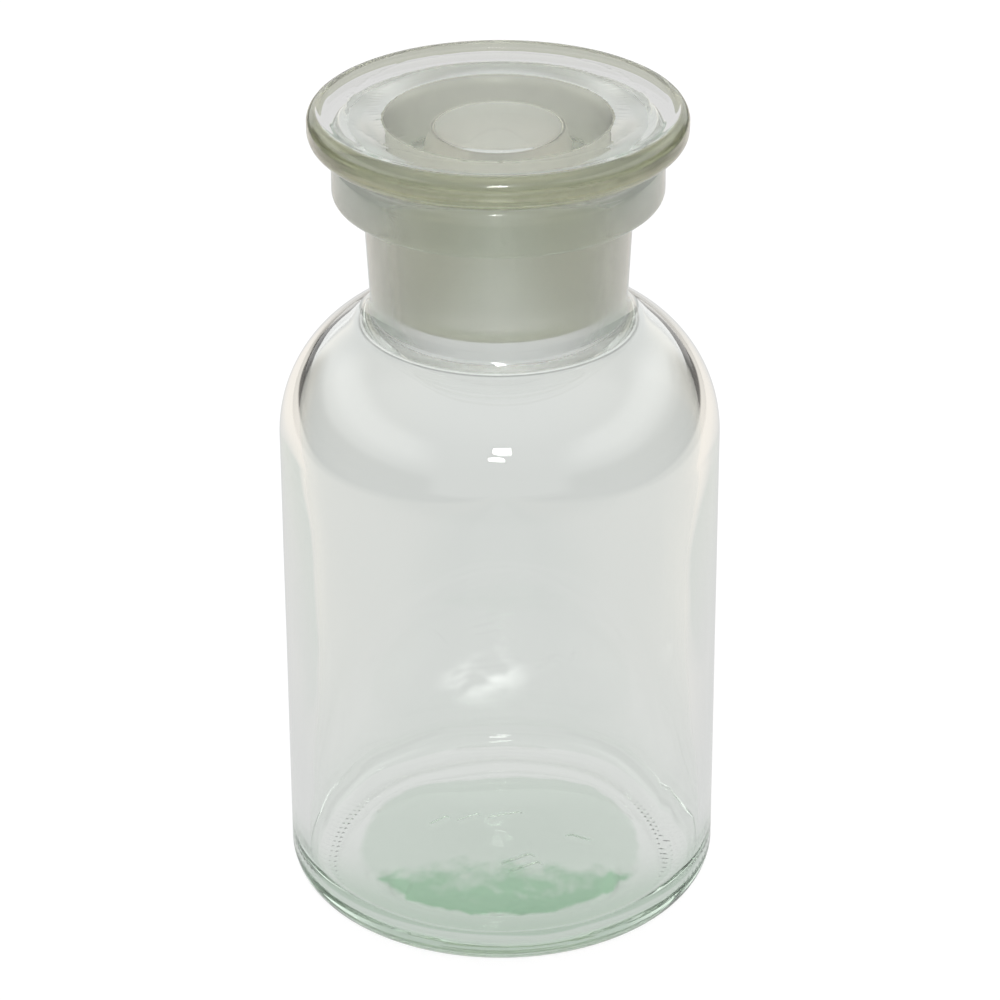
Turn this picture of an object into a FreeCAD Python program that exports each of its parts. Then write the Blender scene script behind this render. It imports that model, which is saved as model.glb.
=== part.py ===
import FreeCAD, Part

import math
import os

import Sketcher

# A wide-neck reagent bottle of clear soda-lime glass, with a hollow glass stopper ground into its neck.
# Millimetres, +Z up. The origin is on the bottle's axis, in the plane that it stands on.

SIZES = {
    # bottle: body
    "body_diameter": 70.0,
    "body_wall": 2.6,
    "heel_radius": 5.8,
    "shoulder_height": 80.2,
    "shoulder_radius": 21.5,
    # bottle: base
    "base_thickness": 2.4,
    "inner_heel_radius": 6.0,
    "crown_diameter": 44.0,
    "crown_height": 3.4,
    "pushup_diameter": 54.0,
    "pushup_depth": 0.4,
    # bottle: neck and lip
    "neck_root_diameter": 40.4,
    "neck_root_fillet": 5.0,
    "neck_length": 19.9,
    "neck_top_diameter": 42.0,
    "lip_diameter": 51.6,
    "lip_depth": 8.7,
    "lip_root_fillet": 1.2,
    "lip_lower_edge": 1.6,
    "lip_upper_edge": 2.2,
    # ground joint: plug diameter in the plane of the rim, length per unit of diameter, radial play
    "joint_diameter": 35.0,
    "joint_taper": 10.0,
    "joint_clearance": 0.05,
    "mouth_land": 0.85,
    "throat_edge": 0.8,
    # stopper
    "disc_gap": 0.45,
    "disc_diameter": 58.9,
    "disc_thickness": 5.6,
    "disc_lower_edge": 2.4,
    "disc_upper_edge": 2.1,
    "plug_length": 26.5,
    "plug_edge": 0.8,
    "hollow_mouth_diameter": 25.0,
    "hollow_roof_diameter": 21.0,
    "hollow_roof_thickness": 10.4,
    "hollow_roof_fillet": 3.0,
    "hollow_mouth_edge": 1.2,
}


class Length:
    """A length worked out from the sheet: its value now, and the formula that keeps it bound."""

    def __init__(self, value, formula):
        self.value = value
        self.formula = formula

    def joined(self, sign, other, value):
        right = other.formula if isinstance(other, Length) else str(other)
        return Length(value, f"({self.formula} {sign} {right})")

    def __add__(self, other):
        return self.joined("+", other, self.value + number(other))

    def __sub__(self, other):
        return self.joined("-", other, self.value - number(other))

    def __mul__(self, other):
        return self.joined("*", other, self.value * number(other))

    def __truediv__(self, other):
        return self.joined("/", other, self.value / number(other))

    def root(self):
        return Length(self.value ** 0.5, f"sqrt({self.formula})")


def number(thing):
    return thing.value if isinstance(thing, Length) else thing


def size(name):
    return Length(SIZES[name], f"Sizes.{name}")


def fill_sheet(doc):
    sheet = doc.addObject("Spreadsheet::Sheet", "Sizes")
    for row, (name, value) in enumerate(SIZES.items(), start=1):
        sheet.set(f"A{row}", name)
        sheet.set(f"B{row}", str(value))
        sheet.setAlias(f"B{row}", name)


def bind(sketch, constraint, length):
    index = sketch.addConstraint(constraint)
    sketch.setExpression(f"Constraints[{index}]", length.formula)


def half_section(body, name, corners, bulges=None):
    """A closed half section beside the axis. Each corner is (radius, height), bound to the sheet.

    bulges maps a corner's number to the radius of the convex arc that runs from it to the next corner;
    every other side is straight.
    """
    bulges = bulges or {}
    sketch = body.newObject("Sketcher::SketchObject", name)
    plane = next(item for item in body.Origin.OriginFeatures if item.Role == "XZ_Plane")
    sketch.AttachmentSupport = [(plane, "")]
    sketch.MapMode = "FlatFace"
    points = [FreeCAD.Vector(number(radius), number(height), 0) for radius, height in corners]
    for index, start in enumerate(points):
        end = points[(index + 1) % len(points)]
        if index in bulges:
            middle = arc_middle(start, end, bulges[index].value)
            sketch.addGeometry(Part.Arc(start, middle, end), False)
        else:
            sketch.addGeometry(Part.LineSegment(start, end), False)
    for index, (radius, height) in enumerate(corners):
        following = (index + 1) % len(corners)
        sketch.addConstraint(Sketcher.Constraint("Coincident", index, 2, following, 1))
        for kind, axis, length in (("DistanceX", -2, radius), ("DistanceY", -1, height)):
            if isinstance(length, Length):
                bind(sketch, Sketcher.Constraint(kind, -1, 1, index, 1, length.value), length)
            else:
                sketch.addConstraint(Sketcher.Constraint("PointOnObject", index, 1, axis))
        if index in bulges:
            bind(sketch, Sketcher.Constraint("Radius", index, bulges[index].value), bulges[index])
    return sketch


def arc_middle(start, end, radius):
    """The middle of the short arc from start to end that bulges away from the axis and upward."""
    chord = end - start
    half = chord.Length / 2
    outward = FreeCAD.Vector(chord.y, -chord.x, 0).normalize()
    sagitta = radius - (radius ** 2 - half ** 2) ** 0.5
    return (start + end) / 2 + outward * sagitta


def turned(body, kind, name, sketch):
    """Turn a half section about the axis, as added glass or as a hollow."""
    before = body.Tip.Shape.Volume if body.Tip else 0.0
    feature = body.newObject(kind, name)
    feature.Profile = sketch
    feature.ReferenceAxis = (sketch, ["V_Axis"])
    feature.Angle = 360.0
    body.Document.recompute()
    grown = feature.Shape.Volume > before
    if grown != (kind == "PartDesign::Revolution"):
        raise RuntimeError(f"{name} changed nothing")
    return feature


def rounded(body, name, chosen, radius):
    """Round the one edge round the axis whose (radius, height) passes the test."""
    base = body.Tip
    found = []
    for index, edge in enumerate(base.Shape.Edges, start=1):
        corner = edge.Vertexes[0].Point
        if edge.isClosed() and chosen(math.hypot(corner.x, corner.y), corner.z):
            found.append(f"Edge{index}")
    if len(found) != 1:
        raise RuntimeError(f"{name}: {len(found)} edges found")
    fillet = body.newObject("PartDesign::Fillet", name)
    fillet.Base = (base, found)
    fillet.Radius = radius.value
    fillet.setExpression("Radius", radius.formula)
    body.Document.recompute()


def at(radius, height):
    """A test for the edge that lies at this radius and height."""
    def chosen(edge_radius, edge_height):
        same_radius = abs(edge_radius - number(radius)) < EDGE_SEARCH
        return same_radius and abs(edge_height - number(height)) < EDGE_SEARCH
    return chosen


EDGE_SEARCH = 0.01

body_radius = size("body_diameter") / 2
shoulder_top = size("shoulder_height")
neck_root_radius = size("neck_root_diameter") / 2
neck_top_radius = size("neck_top_diameter") / 2
lip_radius = size("lip_diameter") / 2

# The shoulder is an arc tangent to the body wall, and the neck starts where the arc reaches its radius.
shoulder_run = neck_root_radius - body_radius + size("shoulder_radius")
shoulder_rise = (size("shoulder_radius") * size("shoulder_radius") - shoulder_run * shoulder_run).root()
neck_root = shoulder_top + shoulder_rise
lip_underside = neck_root + size("neck_length")
rim = lip_underside + size("lip_depth")

# The ground joint: socket and plug share one taper, and the socket is wider by the play.
plug_radius_at_rim = size("joint_diameter") / 2
socket_radius_at_rim = plug_radius_at_rim + size("joint_clearance")


def narrowed(radius_at_rim, height):
    """The radius of the ground cone at a height, from its radius in the plane of the rim."""
    return radius_at_rim - (rim - height) / size("joint_taper") / 2


def dome_radius(reach, height):
    """The radius of the sphere that makes a dome of this reach from the axis and this height."""
    return (reach * reach + height * height) / height / 2


def in_throat(edge_radius, edge_height):
    """A test for the edge where the socket opens into the chamber."""
    inside_neck = edge_radius < plug_radius_at_rim.value
    return inside_neck and shoulder_top.value < edge_height < lip_underside.value


def make_bottle(doc):
    body = doc.addObject("PartDesign::Body", "bottle")

    # Outside: base, body, shoulder, neck and lip.
    outside = half_section(body, "OutsideSection", [
        (0, 0),
        (body_radius, 0),
        (body_radius, shoulder_top),
        (neck_root_radius, neck_root),
        (neck_top_radius, lip_underside),
        (lip_radius, lip_underside),
        (lip_radius, rim),
        (0, rim),
    ], bulges={2: size("shoulder_radius")})
    turned(body, "PartDesign::Revolution", "Outside", outside)
    rounded(body, "Heel", at(body_radius, 0), size("heel_radius"))
    rounded(body, "NeckRoot", at(neck_root_radius, neck_root), size("neck_root_fillet"))
    rounded(body, "LipRoot", at(neck_top_radius, lip_underside), size("lip_root_fillet"))
    rounded(body, "LipLowerEdge", at(lip_radius, lip_underside), size("lip_lower_edge"))
    rounded(body, "LipUpperEdge", at(lip_radius, rim), size("lip_upper_edge"))

    # Inside: a chamber that follows the body and shoulder at one wall thickness.
    inner_radius = body_radius - size("body_wall")
    inner_shoulder = size("shoulder_radius") - size("body_wall")
    floor = size("base_thickness")
    ceiling = shoulder_top + inner_shoulder
    chamber = half_section(body, "ChamberSection", [
        (0, floor),
        (inner_radius, floor),
        (inner_radius, shoulder_top),
        (inner_radius - inner_shoulder, ceiling),
        (0, ceiling),
    ], bulges={2: inner_shoulder})
    turned(body, "PartDesign::Groove", "Chamber", chamber)
    rounded(body, "InnerHeel", at(inner_radius, floor), size("inner_heel_radius"))

    # The glass is thicker in the middle of the base, where it stands up inside as a low crown.
    crown_reach = size("crown_diameter") / 2
    crown_height = size("crown_height")
    crown = half_section(body, "CrownSection", [
        (0, floor / 2),
        (crown_reach, floor / 2),
        (crown_reach, floor),
        (0, floor + crown_height),
    ], bulges={2: dome_radius(crown_reach, crown_height)})
    turned(body, "PartDesign::Revolution", "Crown", crown)

    # The socket is ground from the mouth down through the chamber's ceiling. The mouth is rounded wide,
    # and leaves a narrow land on top of the lip.
    mouth_edge = lip_radius - size("lip_upper_edge") - size("mouth_land") - socket_radius_at_rim
    socket = half_section(body, "SocketSection", [
        (0, shoulder_top),
        (narrowed(socket_radius_at_rim, shoulder_top), shoulder_top),
        (socket_radius_at_rim, rim),
        (0, rim),
    ])
    turned(body, "PartDesign::Groove", "Socket", socket)
    rounded(body, "MouthEdge", at(socket_radius_at_rim, rim), mouth_edge)
    rounded(body, "ThroatEdge", in_throat, size("throat_edge"))

    # Under the base, a shallow push-up leaves a ring for the bottle to stand on.
    pushup_reach = size("pushup_diameter") / 2
    pushup_depth = size("pushup_depth")
    pushup = half_section(body, "PushUpSection", [
        (0, 0),
        (pushup_reach, 0),
        (0, pushup_depth),
    ], bulges={1: dome_radius(pushup_reach, pushup_depth)})
    turned(body, "PartDesign::Groove", "PushUp", pushup)
    return body


def make_stopper(doc):
    body = doc.addObject("PartDesign::Body", "stopper")

    # The disc stands just clear of the rim, so the stopper's weight rests on the ground cone.
    disc_radius = size("disc_diameter") / 2
    disc_underside = rim + size("disc_gap")
    disc_top = disc_underside + size("disc_thickness")
    plug_bottom = disc_underside - size("plug_length")
    plug_bottom_radius = narrowed(plug_radius_at_rim, plug_bottom)
    outside = half_section(body, "StopperSection", [
        (0, plug_bottom),
        (plug_bottom_radius, plug_bottom),
        (narrowed(plug_radius_at_rim, disc_underside), disc_underside),
        (disc_radius, disc_underside),
        (disc_radius, disc_top),
        (0, disc_top),
    ])
    turned(body, "PartDesign::Revolution", "DiscAndPlug", outside)
    rounded(body, "DiscLowerEdge", at(disc_radius, disc_underside), size("disc_lower_edge"))
    rounded(body, "DiscUpperEdge", at(disc_radius, disc_top), size("disc_upper_edge"))

    # The plug is pressed hollow, open below, with a draft that lets the plunger out.
    hollow_mouth = size("hollow_mouth_diameter") / 2
    hollow_roof = size("hollow_roof_diameter") / 2
    roof = disc_top - size("hollow_roof_thickness")
    hollow = half_section(body, "HollowSection", [
        (0, plug_bottom),
        (hollow_mouth, plug_bottom),
        (hollow_roof, roof),
        (0, roof),
    ])
    turned(body, "PartDesign::Groove", "Hollow", hollow)
    rounded(body, "HollowRoof", at(hollow_roof, roof), size("hollow_roof_fillet"))
    rounded(body, "HollowMouthEdge", at(hollow_mouth, plug_bottom), size("hollow_mouth_edge"))
    rounded(body, "PlugEdge", at(plug_bottom_radius, plug_bottom), size("plug_edge"))
    return body


doc = FreeCAD.newDocument("ReagentBottle")
fill_sheet(doc)
doc.recompute()
pieces = [make_bottle(doc), make_stopper(doc)]
doc.recompute()

for item in doc.Objects:
    if "Invalid" in item.State or "Error" in item.State:
        raise RuntimeError(f"{item.Name} failed: {item.State}")
for piece in pieces:
    if piece.Shape.isNull() or not piece.Shape.isValid():
        raise RuntimeError(f"{piece.Label} has no valid shape")

os.makedirs("parts", exist_ok=True)
for piece in pieces:
    piece.Shape.exportStep(f"parts/{piece.Label}.step")
    print(f"{piece.Label}: {len(piece.Shape.Solids)} solid, {piece.Shape.Volume / 1000:.2f} ml of glass")
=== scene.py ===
import math

import bmesh
import bpy
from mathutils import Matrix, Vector, noise


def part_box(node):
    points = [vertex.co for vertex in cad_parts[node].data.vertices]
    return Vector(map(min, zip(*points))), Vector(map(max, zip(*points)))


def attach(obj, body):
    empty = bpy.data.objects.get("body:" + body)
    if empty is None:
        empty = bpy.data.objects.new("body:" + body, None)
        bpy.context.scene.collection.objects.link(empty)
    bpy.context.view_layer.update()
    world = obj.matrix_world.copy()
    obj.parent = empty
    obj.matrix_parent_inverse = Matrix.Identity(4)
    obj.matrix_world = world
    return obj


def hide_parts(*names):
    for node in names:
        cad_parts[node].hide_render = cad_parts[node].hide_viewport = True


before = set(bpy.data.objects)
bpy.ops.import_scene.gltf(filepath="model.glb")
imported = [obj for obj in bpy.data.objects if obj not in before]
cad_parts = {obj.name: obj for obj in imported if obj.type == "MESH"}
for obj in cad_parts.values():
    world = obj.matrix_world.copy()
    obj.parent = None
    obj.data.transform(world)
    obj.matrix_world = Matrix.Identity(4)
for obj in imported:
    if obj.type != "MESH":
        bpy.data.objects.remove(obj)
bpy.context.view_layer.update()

# Bottle
# One piece of soda-lime glass, blown in a mould of two halves: a base with a crown inside, a straight body, a
# round shoulder, a neck, and a thick lip with a wide round mouth. The neck is ground inside to a cone that
# holds the stopper.
_, bottle_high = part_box("bottle")
body_radius = bottle_high.x
rim = bottle_high.z
body_wall = 0.0026
heel_radius = 0.0058
shoulder_height = 0.0802
shoulder_radius = 0.0215
base_thickness = 0.0024
crown_reach = 0.0220
crown_side_reach = 0.0253
crown_rear_reach = 0.0235
crown_corner = 8
crown_height = 0.0034
inner_heel_radius = 0.0060
pushup_radius = 0.0270
pushup_depth = 0.0004
neck_root_radius = 0.0202
neck_root_fillet = 0.0050
neck_top_radius = 0.0210
lip_radius = 0.0258
lip_depth = 0.0087
lip_root_fillet = 0.0012
lip_lower_edge = 0.0016
lip_upper_edge = 0.0022
joint_radius = 0.0175
joint_slope = 0.05
joint_clearance = 0.00005
mouth_land = 0.00085
throat_edge = 0.0008
turn_steps = 192
scene = bpy.context.scene


def bend(centre, radius, start, end, steps):
    """Points of an arc in the half section, between two angles in radians."""
    angles = [start + (end - start) * i / steps for i in range(steps + 1)]
    return [(centre[0] + radius * math.cos(a), centre[1] + radius * math.sin(a)) for a in angles]


def run(start, end, steps):
    """Points along a straight side of the half section, its two ends left out."""
    shares = [i / steps for i in range(1, steps)]
    return [tuple(a + (b - a) * s for a, b in zip(start, end)) for s in shares]


def stretch(step, count, faces):
    """The points of a ring of count points that one of the faces round it reaches."""
    each = max(count // faces, 1)
    return range(step * each, (step + 1) * each + 1)


def turned(name, outline, shift, cuts):
    """Turn a half section, from the axis round to the axis, into a closed glass form.

    shift gives how far a point at (azimuth, radius, height) stands out and up from the true form. cuts gives
    the number of steps in the ring at (radius, height): turn_steps, or 2 or 4 times as many.
    """
    mesh = bmesh.new()
    rings = []
    for radius, height in outline:
        if radius == 0.0:
            rings.append([mesh.verts.new((0.0, 0.0, height))])
            continue
        ring = []
        count = cuts(radius, height)
        for step in range(count):
            azimuth = 2 * math.pi * step / count
            out, up = shift(azimuth, radius, height)
            ring.append(mesh.verts.new((
                (radius + out) * math.cos(azimuth),
                (radius + out) * math.sin(azimuth),
                height + up,
            )))
        rings.append(ring)
    for lower, upper in zip(rings, rings[1:]):
        faces = max(min(len(lower), len(upper)), turn_steps)
        for step in range(faces):
            near = [lower[i % len(lower)] for i in stretch(step, len(lower), faces)]
            far = [upper[i % len(upper)] for i in stretch(step, len(upper), faces)]
            mesh.faces.new(list(dict.fromkeys(near + far[::-1])))
    bmesh.ops.recalc_face_normals(mesh, faces=mesh.faces)
    for face in mesh.faces:
        face.smooth = True
    data = bpy.data.meshes.new(name)
    mesh.to_mesh(data)
    mesh.free()
    piece = bpy.data.objects.new(name, data)
    scene.collection.objects.link(piece)
    return piece


def socket_radius(height):
    """The ground cone inside the neck."""
    return joint_radius + joint_clearance - (rim - height) * joint_slope


quarter = math.pi / 2
shoulder_centre = (body_radius - shoulder_radius, shoulder_height)
inner_radius = body_radius - body_wall
inner_shoulder = shoulder_radius - body_wall
lip_underside = rim - lip_depth
crown_top = base_thickness + crown_height

# Under the base: a shallow dome inside the bearing ring, then the heel.
dome_radius = (pushup_radius ** 2 + pushup_depth ** 2) / (2 * pushup_depth)
dome_angle = math.asin(pushup_radius / dome_radius)
dome_centre = (0.0, pushup_depth - dome_radius)
underside = bend(dome_centre, dome_radius, quarter, quarter - dome_angle, steps=70)
underside[0] = (0.0, pushup_depth)
heel_centre = (body_radius - heel_radius, heel_radius)
heel = bend(heel_centre, heel_radius, -quarter, 0.0, steps=26)

# Outside: the shoulder runs into the neck through a hollow fillet, and the neck into the lip.
fillet_r = neck_root_radius + neck_root_fillet
fillet_reach = shoulder_radius + neck_root_fillet
fillet_z = shoulder_height + math.sqrt(fillet_reach ** 2 - (fillet_r - shoulder_centre[0]) ** 2)
fillet_angle = math.atan2(fillet_z - shoulder_height, fillet_r - shoulder_centre[0])
shoulder = bend(shoulder_centre, shoulder_radius, 0.0, fillet_angle, steps=28)
neck_root = bend((fillet_r, fillet_z), neck_root_fillet, fillet_angle - math.pi, -math.pi, steps=12)
lip_root_centre = (neck_top_radius + lip_root_fillet, lip_underside - lip_root_fillet)
lip_root = bend(lip_root_centre, lip_root_fillet, math.pi, quarter, steps=8)
lip_lower_centre = (lip_radius - lip_lower_edge, lip_underside + lip_lower_edge)
lip_lower = bend(lip_lower_centre, lip_lower_edge, -quarter, 0.0, steps=10)
lip_upper_centre = (lip_radius - lip_upper_edge, rim - lip_upper_edge)
lip_upper = bend(lip_upper_centre, lip_upper_edge, 0.0, quarter, steps=12)

# Inside: the round mouth, the ground socket, the chamber and the crown of its floor.
mouth_edge = lip_radius - lip_upper_edge - mouth_land - socket_radius(rim)
mouth_r = socket_radius(rim) + mouth_edge
mouth = bend((mouth_r, rim - mouth_edge), mouth_edge, quarter, math.pi, steps=16)
throat_reach = inner_shoulder + throat_edge
throat_r = socket_radius(shoulder_height + inner_shoulder) + throat_edge
throat_angle = math.acos((throat_r - shoulder_centre[0]) / throat_reach)
throat_centre = (shoulder_centre[0] + throat_reach * math.cos(throat_angle),
                 shoulder_height + throat_reach * math.sin(throat_angle))
throat = bend(throat_centre, throat_edge, math.pi, math.pi + throat_angle, steps=8)
ceiling = bend(shoulder_centre, inner_shoulder, throat_angle, 0.0, steps=28)
inner_heel_centre = (inner_radius - inner_heel_radius, base_thickness + inner_heel_radius)
inner_heel = bend(inner_heel_centre, inner_heel_radius, 0.0, -quarter, steps=16)
crown_radius = (crown_reach ** 2 + crown_height ** 2) / (2 * crown_height)
crown_angle = math.asin(crown_reach / crown_radius)
crown = bend((0.0, crown_top - crown_radius), crown_radius, quarter - crown_angle, quarter, steps=40)
crown[-1] = (0.0, crown_top)

bottle_outline = (
    underside
    + run(underside[-1], heel[0], steps=10)
    + heel
    + run(heel[-1], shoulder[0], steps=24)
    + shoulder
    + neck_root[1:]
    + run(neck_root[-1], lip_root[0], steps=10)
    + lip_root
    + run(lip_root[-1], lip_lower[0], steps=3)
    + lip_lower
    + run(lip_lower[-1], lip_upper[0], steps=6)
    + lip_upper
    + run(lip_upper[-1], mouth[0], steps=4)
    + mouth
    + run(mouth[-1], throat[0], steps=8)
    + throat
    + ceiling[1:]
    + run(ceiling[-1], inner_heel[0], steps=60)
    + inner_heel
    + run(inner_heel[-1], crown[0], steps=8)
    + crown
)

# Moulded under the base: four rows of dots at two sides of the bearing ring, and plain bars in the middle.
marks_top = 0.0013
stipple_inner = 0.0276
stipple_outer = 0.0327
stipple_rows = (0.0284, 0.0296, 0.0308, 0.0320)
stipple_pitch = 0.0015
stipple_size = 0.00045
stipple_depth = 0.00012
stipple_fade = 0.25
bars_top = 0.0006
bars_inner = 0.0040
bars_outer = 0.0150
base_bars = (
    ((-0.0112, 0.0058), (-0.0088, 0.0076)),
    ((-0.0062, 0.0066), (-0.0034, 0.0080)),
    ((-0.0010, 0.0070), (0.0030, 0.0082)),
    ((0.0106, 0.0016), (0.0132, 0.0004)),
    ((0.0008, -0.0062), (0.0046, -0.0040)),
    ((0.0020, -0.0084), (0.0058, -0.0062)),
)
bar_half_width = 0.00075
bar_depth = 0.00042

# Left by blowing: waves in the glass, two seams, a ragged edge round the crown, and two sides with thicker
# glass, each given by its azimuth, its lower and upper end and its depth.
wave_rates = Vector((60.0, 60.0, 16.0))
wave_depth = 0.00026
ripple_rate = 110.0
ripple_start = Vector((3.0, 5.0, 7.0))
ripple_depth = 0.00004
floor_wave_share = 0.4
wave_top = throat[0][1] - 0.001
ragged_rate = 1500.0
ragged_reach = 0.0008
ragged_depth = 0.0001
outer_wave_rate = 60.0
outer_wave_depth = 0.00002
seam_azimuth = math.radians(-41.0)
seam_half_turn = 0.025
seam_height = 0.00002
thick_sides = ((math.pi, 0.004, 0.084, 0.0008), (0.0, 0.004, 0.080, 0.0009))
thick_half_turn = 0.85
thick_waver = 0.0020
thick_waver_rate = 2.0
thick_lower_ramp = 0.7
thick_upper_ramp = 0.3
under_floor = base_thickness * 0.9


def bump_shape(share):
    """A round-topped bump: 1 in its middle, 0 at its edge, where the share is 1."""
    return 0.5 + 0.5 * math.cos(math.pi * share) if share < 1.0 else 0.0


def stipple(azimuth, radius):
    """The dots moulded round the bearing ring, row by row."""
    row = min(range(len(stipple_rows)), key=lambda i: abs(stipple_rows[i] - radius))
    count = round(2 * math.pi * stipple_rows[row] / stipple_pitch)
    turn = azimuth * count / (2 * math.pi) + 0.5 * (row % 2)
    along = (turn - round(turn)) * 2 * math.pi * radius / count
    depth = stipple_depth * bump_shape((1.0 - abs(math.cos(azimuth))) / stipple_fade)
    return depth * bump_shape(math.hypot(along, radius - stipple_rows[row]) / stipple_size)


def bars(spot):
    """The plain bars moulded in the middle of the base."""
    reach = 1.0
    for start, end in base_bars:
        along = Vector(end) - Vector(start)
        share = min(max((spot - Vector(start)).dot(along) / along.length_squared, 0.0), 1.0)
        reach = min(reach, (spot - Vector(start) - along * share).length / bar_half_width)
    return bar_depth * bump_shape(reach)


def inside(radius, height):
    """Whether a point of the half section is on the chamber's side of the wall."""
    if height < shoulder_height:
        return height > under_floor and radius < body_radius - body_wall / 2
    reach = math.hypot(radius - shoulder_centre[0], height - shoulder_height)
    return radius > shoulder_centre[0] and reach < shoulder_radius - body_wall / 2


def heading(azimuth):
    """The level direction that an azimuth points in."""
    return Vector((math.cos(azimuth), math.sin(azimuth), 0.0))


def thick_side(azimuth, height):
    """How much thicker the wall is at the two sides of the body, whose ends waver."""
    waver = thick_waver * noise.noise(heading(azimuth) * thick_waver_rate)
    total = 0.0
    for centre, low, top, depth in thick_sides:
        turn = abs(math.remainder(azimuth - centre, 2 * math.pi)) / thick_half_turn
        share = (height + waver - low) / (top - low)
        if 0.0 < share < 1.0:
            lower_ramp = 1.0 - bump_shape(share / thick_lower_ramp)
            upper_ramp = 1.0 - bump_shape((1.0 - share) / thick_upper_ramp)
            total += depth * bump_shape(turn) * lower_ramp * upper_ramp
    return total


def crown_edge(azimuth):
    """How far the crown reaches: 22 mm in front, more at the sides, and cut off almost straight behind."""
    if math.sin(azimuth) > 0.0:
        rear = (math.sin(azimuth) / crown_rear_reach) ** crown_corner
        return (crown_side_reach ** -crown_corner + rear) ** (-1.0 / crown_corner)
    return crown_reach + (crown_side_reach - crown_reach) * math.cos(azimuth) ** 2


def floor_share(radius):
    """How far a ring of the chamber's floor follows the crown's edge: in full there, not at its ends."""
    floor_end = inner_heel[-1][0]
    if radius < crown_reach:
        return radius / crown_reach
    return max((floor_end - radius) / (floor_end - crown_reach), 0.0)


def bottle_shift(azimuth, radius, height):
    """Blown glass: slow waves on the inside of the wall, fainter ones outside, and a moulded base."""
    spot = Vector((radius * math.cos(azimuth), radius * math.sin(azimuth), height))
    if height < marks_top and radius < stipple_outer:
        return 0.0, stipple(azimuth, radius) + bars(spot.xy)
    if inside(radius, height) and height < wave_top:
        wave = noise.noise(spot * wave_rates) * wave_depth
        wave += noise.noise(spot * ripple_rate + ripple_start) * ripple_depth
        if height < base_thickness + inner_heel_radius / 2:
            ragged = noise.noise(spot * ragged_rate) * bump_shape(abs(radius - crown_reach) / ragged_reach)
            spread = crown_edge(azimuth) - crown_reach
            return spread * floor_share(radius), wave * floor_wave_share + ragged * ragged_depth
        return wave - thick_side(azimuth, height), 0.0
    if heel_radius < height < shoulder_height:
        seam = bump_shape(abs(math.remainder(azimuth - seam_azimuth, math.pi)) / seam_half_turn)
        return seam * seam_height - outer_wave_depth * (1.0 + noise.noise(spot * outer_wave_rate)), 0.0
    return 0.0, 0.0


def bottle_cuts(radius, height):
    """More steps in the rings that carry the moulded marks."""
    if height < marks_top and stipple_inner < radius < stipple_outer:
        return turn_steps * 4
    if height < bars_top and bars_inner < radius < bars_outer:
        return turn_steps * 2
    return turn_steps


bottle_glass = turned("bottle_glass", bottle_outline, bottle_shift, bottle_cuts)


class Finish:
    """One value in a finish: a node's output, with arithmetic that adds Math nodes."""

    def __init__(self, tree, output=None):
        self.tree = tree
        self.output = output

    def node(self, kind, settings=None, inputs=None, output=0):
        """A new node: its settings first, then the values or links of its sockets."""
        made = self.tree.nodes.new(kind)
        for name, value in (settings or {}).items():
            setattr(made, name, value)
        for name, value in (inputs or {}).items():
            if isinstance(value, Finish):
                self.tree.links.new(value.output, made.inputs[name])
            else:
                made.inputs[name].default_value = value
        return Finish(self.tree, made.outputs[output] if made.outputs else None)

    def sibling(self, output):
        """Another output of the same node."""
        return Finish(self.tree, self.output.node.outputs[output])

    def parts(self):
        """The x, y and z of a vector."""
        first = self.node("ShaderNodeSeparateXYZ", inputs={0: self})
        return first, first.sibling(1), first.sibling(2)

    def maths(self, operation, *values):
        return self.node("ShaderNodeMath", {"operation": operation}, dict(enumerate(values)))

    def __add__(self, other):
        return self.maths("ADD", self, other)

    def __sub__(self, other):
        return self.maths("SUBTRACT", self, other)

    def __rsub__(self, other):
        return self.maths("SUBTRACT", other, self)

    def __mul__(self, other):
        return self.maths("MULTIPLY", self, other)

    def __gt__(self, other):
        return self.maths("GREATER_THAN", self, other)

    def __lt__(self, other):
        return self.maths("LESS_THAN", self, other)

    __radd__ = __add__
    __rmul__ = __mul__

    def smooth(self, low, high):
        """0 below low, 1 above high and a soft step between them."""
        return self.node("ShaderNodeMapRange", {"interpolation_type": "SMOOTHSTEP"}, {
            "Value": self, "From Min": low, "From Max": high})

    def mix(self, first, second):
        """A colour between two, with this value as the share of the second."""
        return self.node("ShaderNodeMix", {"data_type": "RGBA"}, {0: self, 6: first, 7: second}, output=2)


def new_finish(name):
    material = bpy.data.materials.new(name)
    material.use_nodes = True
    material.node_tree.nodes.clear()
    return material, Finish(material.node_tree)


def place(finish):
    """A point of the piece: its position, its distance from the axis, how far back it is and its height."""
    position = finish.node("ShaderNodeTexCoord", output="Object")
    across, away, height = position.parts()
    level = finish.node("ShaderNodeCombineXYZ", inputs={0: across, 1: away})
    radius = finish.node("ShaderNodeVectorMath", {"operation": "LENGTH"}, {0: level}, output="Value")
    return position, radius, away, height


grain_scale = 5200.0
grain_detail = 3.0
grain_strength = 0.12
grain_depth = 0.0001


def ground_grain(finish, position):
    """The fine grain of ground glass."""
    return finish.node("ShaderNodeTexNoise", inputs={
        "Vector": position, "Scale": grain_scale, "Detail": grain_detail})


def ground_bump(finish, relief):
    """The slight relief of ground glass, for a surface's Normal."""
    return finish.node("ShaderNodeBump", inputs={
        "Strength": grain_strength, "Distance": grain_depth, "Height": relief})


def level_lines(finish, height, scale, detail, roughness):
    """Uneven level lines, one above the other round a piece."""
    return finish.node("ShaderNodeTexNoise", {"noise_dimensions": "1D"}, {
        "W": height, "Scale": scale, "Detail": detail, "Roughness": roughness})


glass_ior = 1.52
coat_roughness = 0.06


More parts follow.
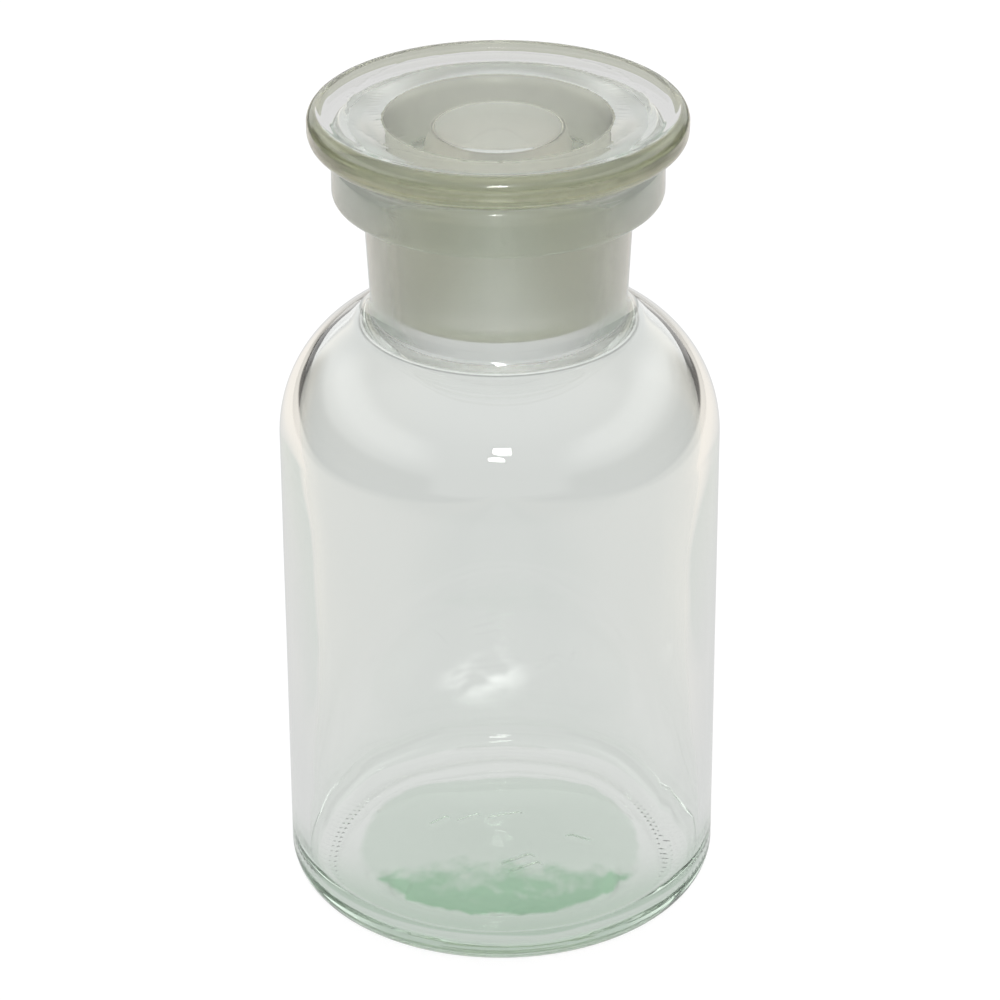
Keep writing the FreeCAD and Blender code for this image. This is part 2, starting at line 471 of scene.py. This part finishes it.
def glass(finish, colour, roughness, coat, normal, tint, density):
    """Clear glass with a faint tint all through it."""
    surface = finish.node("ShaderNodeBsdfPrincipled", inputs={
        "Base Color": colour,
        "Roughness": roughness,
        "Coat Weight": coat,
        "Coat Roughness": coat_roughness,
        "IOR": glass_ior,
        "Transmission Weight": 1.0,
        "Normal": normal,
    })
    body = finish.node("ShaderNodeVolumeAbsorption", inputs={"Color": tint, "Density": density})
    finish.node("ShaderNodeOutputMaterial", inputs={"Surface": surface, "Volume": body})


bottle_material, bottle_finish = new_finish("clear_bottle_glass")
position, radius, away, height = place(bottle_finish)

# The socket is ground, with fine lines round it, and the mouth above it is left slightly dull.
socket_reach = joint_radius + 0.0004
mouth_reach = mouth_r + 0.0003
socket_roughness = 0.5
mouth_roughness = 0.3
socket_mask = (radius < socket_reach) * (height > throat[-1][1]) * (height < rim - mouth_edge)
mouth_mask = (height > rim - mouth_edge) * (radius < mouth_reach)
ground_lines = level_lines(bottle_finish, height, scale=3600.0, detail=4.0, roughness=0.7)
socket_relief = (ground_grain(bottle_finish, position) + ground_lines) * socket_mask

# The crown is tinted green. Painted shade: a green crescent over the front of the crown, in streaks and
# deepest towards the crown's edge, stands in for the green that light picks up when it is led round inside
# the thick base.
clear_colour = (0.985, 1.0, 0.985, 1.0)
green_colour = (0.18, 0.44, 0.22, 1.0)
bottle_tint = (0.14, 0.70, 0.22, 1.0)
bottle_density = 1.2
streak_scale = 260.0
streak_detail = 4.0
crown_waver = 0.0006
crown_foot = (0.00015, 0.0006)
crown_ceiling = crown_top + 0.0002
crown_limit = 0.0262
crescent_waver = 0.008
crescent_start = (0.0080, 0.0125)
crescent_full = (0.013, 0.021)
crescent_edge = (0.0190, 0.0214)
crescent_least = 0.1
crescent_in_streaks = 1.6
crescent_at_edge = 0.7
streaks = bottle_finish.node("ShaderNodeTexNoise", inputs={
    "Vector": position, "Scale": streak_scale, "Detail": streak_detail})
crown_rise = height - base_thickness + crown_waver * (streaks - 0.5)
crown_mask = crown_rise.smooth(*crown_foot) * (height < crown_ceiling) * (radius < crown_limit)
near = crescent_waver * (streaks - 0.5) - away
front = near.smooth(*crescent_start) * (0.5 + 0.5 * near.smooth(*crescent_full))
crescent_strength = crescent_least + crescent_in_streaks * streaks + crescent_at_edge * radius.smooth(*crescent_edge)
# Painted shade: the green crescent at the front of the crown.
painted_crescent = crown_mask * front * crescent_strength

# The rest of the floor, the heel and the lip are fainter. Painted shade: the green of the floor and of the
# heel is stronger in front and fades towards the rear. The heel and the lip also have an even faint green.
crown_green = 0.42
floor_green = 0.42
heel_green = 0.12
heel_front_shade = 0.40
lip_green = 0.12
line_green = 0.06
floor_limit = 0.0290
heel_limit = 0.0330
heel_fade = (0.004, 0.016)
rear_fade = (-0.005, 0.018)
lip_mask = (height > lip_underside) * (radius > neck_top_radius)
floor_mask = (height > under_floor) * (height < crown_ceiling) * (radius < floor_limit)
heel_mask = (1.0 - height.smooth(*heel_fade)) * (radius > heel_limit)
facing = (-1.0 * away).smooth(*rear_fade)
painted_floor_shade = floor_green * facing * floor_mask * (1.0 - crown_mask)
ring_tint = painted_floor_shade + (heel_green + heel_front_shade * facing) * heel_mask
line_tint = line_green * socket_mask * ground_lines
# Painted shade: the crescent and the front green of the floor and heel are painted into the glass's colour.
green = painted_crescent + crown_green * crown_mask + ring_tint + lip_green * lip_mask + line_tint
green_share = bottle_finish.maths("MINIMUM", green, 1.0)
glass(
    bottle_finish,
    colour=green_share.mix(clear_colour, green_colour),
    roughness=socket_roughness * socket_mask + mouth_roughness * mouth_mask,
    coat=0.0,
    normal=ground_bump(bottle_finish, socket_relief),
    tint=bottle_tint,
    density=bottle_density,
)
bottle_glass.data.materials.append(bottle_material)
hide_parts("bottle")
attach(bottle_glass, "bottle")

# Stopper
# One piece of pressed glass: a flat disc to hold, on a hollow plug that is open below. The plug is ground
# outside to the cone of the neck, sits there by its weight and lifts straight out.
stopper_low, stopper_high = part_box("stopper")
disc_radius = stopper_high.x
disc_top = stopper_high.z
plug_bottom = stopper_low.z
disc_thickness = 0.0056
disc_lower_edge = 0.0024
disc_upper_edge = 0.0021
plug_edge = 0.0008
hollow_mouth_radius = 0.0125
hollow_roof_radius = 0.0105
hollow_roof_thickness = 0.0104
hollow_roof_fillet = 0.0010
hollow_mouth_edge = 0.0012
plug_root_fillet = 0.0004

disc_underside = disc_top - disc_thickness
hollow_roof = disc_top - hollow_roof_thickness
plug_root_z = disc_underside - plug_root_fillet


def plug_radius(height):
    """The ground cone of the plug."""
    return joint_radius - (rim - height) * joint_slope


roof_centre = (hollow_roof_radius - hollow_roof_fillet, hollow_roof - hollow_roof_fillet)
roof_bend = bend(roof_centre, hollow_roof_fillet, quarter, 0.0, steps=12)
hollow_lip_centre = (hollow_mouth_radius + hollow_mouth_edge, plug_bottom + hollow_mouth_edge)
hollow_lip = bend(hollow_lip_centre, hollow_mouth_edge, math.pi, math.pi + quarter, steps=8)
plug_lip_centre = (plug_radius(plug_bottom) - plug_edge, plug_bottom + plug_edge)
plug_lip = bend(plug_lip_centre, plug_edge, -quarter, 0.0, steps=8)
plug_root_centre = (plug_radius(plug_root_z) + plug_root_fillet, plug_root_z)
plug_root = bend(plug_root_centre, plug_root_fillet, math.pi, quarter, steps=8)
disc_lower_centre = (disc_radius - disc_lower_edge, disc_underside + disc_lower_edge)
disc_lower = bend(disc_lower_centre, disc_lower_edge, -quarter, 0.0, steps=12)
disc_upper_centre = (disc_radius - disc_upper_edge, disc_top - disc_upper_edge)
disc_upper = bend(disc_upper_centre, disc_upper_edge, 0.0, quarter, steps=12)

stopper_outline = (
    [(0.0, hollow_roof)]
    + run((0.0, hollow_roof), roof_bend[0], steps=8)
    + roof_bend
    + run(roof_bend[-1], hollow_lip[0], steps=16)
    + hollow_lip
    + run(hollow_lip[-1], plug_lip[0], steps=3)
    + plug_lip
    + run(plug_lip[-1], plug_root[0], steps=24)
    + plug_root
    + run(plug_root[-1], disc_lower[0], steps=24)
    + disc_lower
    + run(disc_lower[-1], disc_upper[0], steps=3)
    + disc_upper
    + run(disc_upper[-1], (0.0, disc_top), steps=110)
    + [(0.0, disc_top)]
)

# On the disc's top: slow dents, a wandering fold, feathery wrinkles over the plug's edge and a line along the
# rim. The disc's edge has level streaks, and the root of the plug is wrinkled.
top_skin = 0.00001
dent_rate = 90.0
dent_depth = 0.00003
fold_place = 0.0230
fold_wander = ((6.0, 0.0005), (40.0, 0.00025))
fold_half_width = 0.0004
fold_break_rate = 22.0
fold_lift = 0.7
fold_depth = 0.00004
feather_place = 0.0192
feather_half_width = 0.0016
feather_rate = 48.0
feather_slant = 250.0
feather_lift = 0.5
feather_depth = 0.00006
rim_line_place = 0.0268
rim_line_half_width = 0.0006
rim_line_depth = 0.00003
edge_start = 0.0265
edge_streak_rate = 9.0
edge_streak_rise = 1600.0
edge_streak_depth = 0.00003
edge_grain_rate = 700.0
edge_grain_depth = 0.00001
wrinkle_bottom = plug_root_z - 0.0006
wrinkle_reach = plug_root[-1][0] + 0.0001
wrinkle_rate = 55.0
wrinkle_rise = 900.0
wrinkle_depth = 0.00012
wrinkle_cuts_reach = 0.0190


def winding(azimuth, rate, rise):
    """Noise that goes round the piece at a rate, and changes with the rise."""
    return noise.noise(heading(azimuth) * rate + Vector((0.0, 0.0, rise)))


def disc_dip(azimuth, radius, spot):
    """How far the top of the disc lies below its true plane."""
    dent = 0.5 + 0.5 * noise.noise(spot * dent_rate)
    fold_radius = fold_place + sum(depth * winding(azimuth, rate, 0.0) for rate, depth in fold_wander)
    fold = bump_shape(abs(radius - fold_radius) / fold_half_width)
    fold *= fold_lift + winding(azimuth, fold_break_rate, 0.0)
    feather = bump_shape(abs(radius - feather_place) / feather_half_width) * math.cos(azimuth) ** 2
    feather *= feather_lift + winding(azimuth, feather_rate, radius * feather_slant)
    rim_line = bump_shape(abs(radius - rim_line_place) / rim_line_half_width)
    dip = dent * dent_depth + max(fold, 0.0) * fold_depth
    return dip + max(feather, 0.0) * feather_depth + rim_line * rim_line_depth


def stopper_shift(azimuth, radius, height):
    """Pressed glass: an uneven top, a streaky edge and wrinkles at the root of the plug."""
    spot = Vector((radius * math.cos(azimuth), radius * math.sin(azimuth), height))
    if height > disc_top - top_skin:
        return 0.0, -disc_dip(azimuth, radius, spot)
    if height > disc_underside and radius > edge_start:
        streak = winding(azimuth, edge_streak_rate, height * edge_streak_rise)
        grain = noise.noise(spot * edge_grain_rate)
        return -edge_streak_depth * (1.0 + streak) - edge_grain_depth * (1.0 + grain), 0.0
    if height > wrinkle_bottom and radius < wrinkle_reach:
        return wrinkle_depth * winding(azimuth, wrinkle_rate, height * wrinkle_rise), 0.0
    return 0.0, 0.0


def stopper_cuts(radius, height):
    """More steps in the rings of the disc's top and of the root of the plug."""
    if height > disc_top - top_skin:
        return turn_steps * 2
    if height > wrinkle_bottom and radius < wrinkle_cuts_reach:
        return turn_steps * 2
    return turn_steps


stopper_glass = turned("stopper_glass", stopper_outline, stopper_shift, stopper_cuts)

# The plug is ground and a little yellow. The disc's edge is olive, in level streaks, under a smooth skin.
white_colour = (1.0, 1.0, 1.0, 1.0)
plug_tone = (0.985, 0.995, 0.90, 1.0)
olive_tone = (0.42, 0.44, 0.30, 1.0)
stopper_tint = (0.72, 0.78, 0.42, 1.0)
stopper_density = 4.0
plug_top = disc_underside - 0.0002
edge_top = disc_top - 0.0001
edge_roughness = 0.2
edge_coat = 0.6
olive_least = 0.6
olive_in_streaks = 0.7
stopper_material, stopper_finish = new_finish("pressed_stopper_glass")
position, radius, _, height = place(stopper_finish)
plug_mask = (radius > hollow_mouth_radius + hollow_mouth_edge) * (height < plug_top)
edge_mask = (radius > disc_radius - disc_upper_edge) * (height < edge_top)
edge_streaks = level_lines(stopper_finish, height, scale=2200.0, detail=3.0, roughness=0.5)
plug_relief = ground_grain(stopper_finish, position) * plug_mask
plug_colour = plug_mask.mix(white_colour, plug_tone)
olive_share = edge_mask * (olive_least + olive_in_streaks * edge_streaks)
glass(
    stopper_finish,
    colour=olive_share.mix(plug_colour, olive_tone),
    roughness=plug_mask + edge_roughness * edge_mask,
    coat=edge_coat * edge_mask,
    normal=ground_bump(stopper_finish, plug_relief),
    tint=stopper_tint,
    density=stopper_density,
)
stopper_glass.data.materials.append(stopper_material)
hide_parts("stopper")
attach(stopper_glass, "stopper")

# Floor
# A sheet of pale paper under the bottle. It also glows, so that the camera and the glass see a white ground.
# Painted light: the glow that the glass sees is brighter and warmer at the sides, dimmer in front, far behind
# and far out at the sides, and has a painted caustic, a patch of gathered light, behind the bottle.
floor_half = 3.0
floor_drop = 0.0002
paper_colour = (0.90, 0.90, 0.90, 1.0)
warm_white = (1.0, 0.94, 0.88, 1.0)
sheet_middle = 0.69
sheet_side_rise = 0.24
sheet_beyond_fall = 0.93
sheet_front_fall = 0.45
sheet_far_fall = 0.5
patch_place = (-0.0030, 0.0610, -floor_drop)
patch_reach = 0.011
patch_rise = 0.35
patch_ripple_scale = 130.0
camera_light = 1.08
camera_share = 0.85
glass_share = 0.5
glass_side_share = 0.4
floor_corners = ((-floor_half, -floor_half), (floor_half, -floor_half),
                 (floor_half, floor_half), (-floor_half, floor_half))
floor_data = bpy.data.meshes.new("floor")
floor_data.from_pydata([(x, y, -floor_drop) for x, y in floor_corners], [], [(0, 1, 2, 3)])
floor = bpy.data.objects.new("floor", floor_data)
scene.collection.objects.link(floor)
floor_material, floor_finish = new_finish("pale_floor")
spot = floor_finish.node("ShaderNodeTexCoord", output="Object")
across, back, _ = spot.parts()
aside = floor_finish.maths("ABSOLUTE", across)
beside = aside.smooth(0.05, 0.14)
beyond = aside.smooth(0.29, 0.36)
front = (-1.0 * back).smooth(0.08, 0.30)
far = back.smooth(0.45, 0.80)
gather = floor_finish.node("ShaderNodeVectorMath", {"operation": "DISTANCE"}, {
    0: spot, 1: patch_place}, output="Value")
ripple = floor_finish.node("ShaderNodeTexNoise", inputs={"Vector": spot, "Scale": patch_ripple_scale})
# Painted light: a caustic painted into the glow behind the bottle.
painted_caustic = (1.0 - gather.smooth(0.0, patch_reach)) * ripple.smooth(0.35, 0.65)
sheet_light = sheet_middle + sheet_side_rise * beside + patch_rise * painted_caustic
for fall, where in ((sheet_beyond_fall, beyond), (sheet_front_fall, front), (sheet_far_fall, far)):
    sheet_light = sheet_light * (1.0 - fall * where)
seen = floor_finish.node("ShaderNodeLightPath", output="Is Camera Ray")
through_glass = seen.sibling("Is Transmission Ray") + seen.sibling("Is Glossy Ray")
warmth = ((1.0 - seen) * beside).mix(white_colour, warm_white)
glow_colour = floor_finish.node("ShaderNodeVectorMath", {"operation": "SCALE"}, {
    0: warmth, "Scale": seen * camera_light + (1.0 - seen) * sheet_light})
glow = floor_finish.node("ShaderNodeEmission", inputs={"Color": glow_colour, "Strength": 1.0})
paper = floor_finish.node("ShaderNodeBsdfDiffuse", inputs={"Color": paper_colour})
glow_share = seen * camera_share + through_glass * (glass_share + glass_side_share * aside.smooth(0.03, 0.06))
sheet = floor_finish.node("ShaderNodeMixShader", inputs={
    0: floor_finish.maths("MINIMUM", glow_share, 1.0), 1: paper, 2: glow})
floor_finish.node("ShaderNodeOutputMaterial", inputs={"Surface": sheet})
floor_data.materials.append(floor_material)

# Light
# A pale room with windows high at both sides and dark walls low at both sides, which draw the edges of the
# glass, and two soft boxes in front, which make the bright bars on the shoulder.
room_light = 0.74
behind_light = 0.20
overhead_light = 0.4
window_light = 0.75
ahead_fall = 0.15
loft_fall = 0.20
side_fall = 0.96
world = bpy.data.worlds.new("studio")
world.use_nodes = True
world.node_tree.nodes.clear()
scene.world = world
air = Finish(world.node_tree)
across, away, up = air.node("ShaderNodeTexCoord", output="Generated").parts()
aside = air.maths("ABSOLUTE", across)
behind = away.smooth(0.45, 0.95) * (1.0 - up.smooth(0.15, 0.50))
overhead = up.smooth(0.55, 1.0)
loft = away.smooth(0.20, 0.45) * up.smooth(0.45, 0.70)
ahead = (-1.0 * away).smooth(0.3, 0.8) * (1.0 - up.smooth(0.3, 0.6))
windows = aside.smooth(0.45, 0.75) * up.smooth(0.22, 0.45) * (1.0 - up.smooth(0.55, 0.70))
sides = aside.smooth(0.52, 0.66) * (1.0 - up.smooth(0.14, 0.26))
lit = room_light + behind * behind_light + overhead * overhead_light + windows * window_light
room = (lit - ahead * ahead_fall - loft * loft_fall) * (1.0 - sides * side_fall)
around = air.node("ShaderNodeBackground", inputs={"Color": room, "Strength": 1.0})
backdrop = air.node("ShaderNodeBackground", inputs={"Color": white_colour, "Strength": 1.0})
seen = air.node("ShaderNodeLightPath", output="Is Camera Ray")
sky = air.node("ShaderNodeMixShader", inputs={0: seen, 1: around, 2: backdrop})
air.node("ShaderNodeOutputWorld", inputs={"Surface": sky})

box_radiance = 40.0


def soft_box(name, stand, aim, width, depth):
    """A soft box: a flat lamp of even brightness that the camera itself doesn't see."""
    lamp = bpy.data.lights.new(name, "AREA")
    lamp.shape = "RECTANGLE"
    lamp.size = width
    lamp.size_y = depth
    lamp.energy = box_radiance * math.pi * width * depth
    held = bpy.data.objects.new(name, lamp)
    held.location = stand
    held.rotation_euler = (Vector(aim) - Vector(stand)).to_track_quat("-Z", "Y").to_euler()
    held.visible_camera = False
    scene.collection.objects.link(held)


soft_box("upper_lamp", stand=(0.020, -0.806, 0.725), aim=(0.0, -0.032, 0.092), width=0.150, depth=0.085)
soft_box("lower_lamp", stand=(-0.033, -0.875, 0.628), aim=(0.0, -0.032, 0.091), width=0.125, depth=0.045)

# Camera
# A long lens looks down on the bottle from the front, and leans a little to one side. Light may pass many
# faces of glass on its way there.
camera_distance = 0.64612
camera_elevation = math.radians(27.498)
camera_target = Vector((0.0, 0.0, 0.06725))
camera_roll = math.radians(-0.3)
glass_bounces = 64
camera_data = bpy.data.cameras.new("camera")
camera_data.lens = 144.8
camera_data.sensor_width = 36.0
camera = bpy.data.objects.new("camera", camera_data)
scene.collection.objects.link(camera)
camera_back = Vector((0.0, -math.cos(camera_elevation), math.sin(camera_elevation)))
camera.location = camera_target + camera_back * camera_distance
camera.rotation_euler = (quarter - camera_elevation, 0.0, 0.0)
camera.rotation_euler.rotate_axis("Z", camera_roll)
scene.camera = camera
scene.view_settings.view_transform = "Standard"
scene.cycles.max_bounces = glass_bounces
scene.cycles.transmission_bounces = glass_bounces
scene.cycles.glossy_bounces = glass_bounces
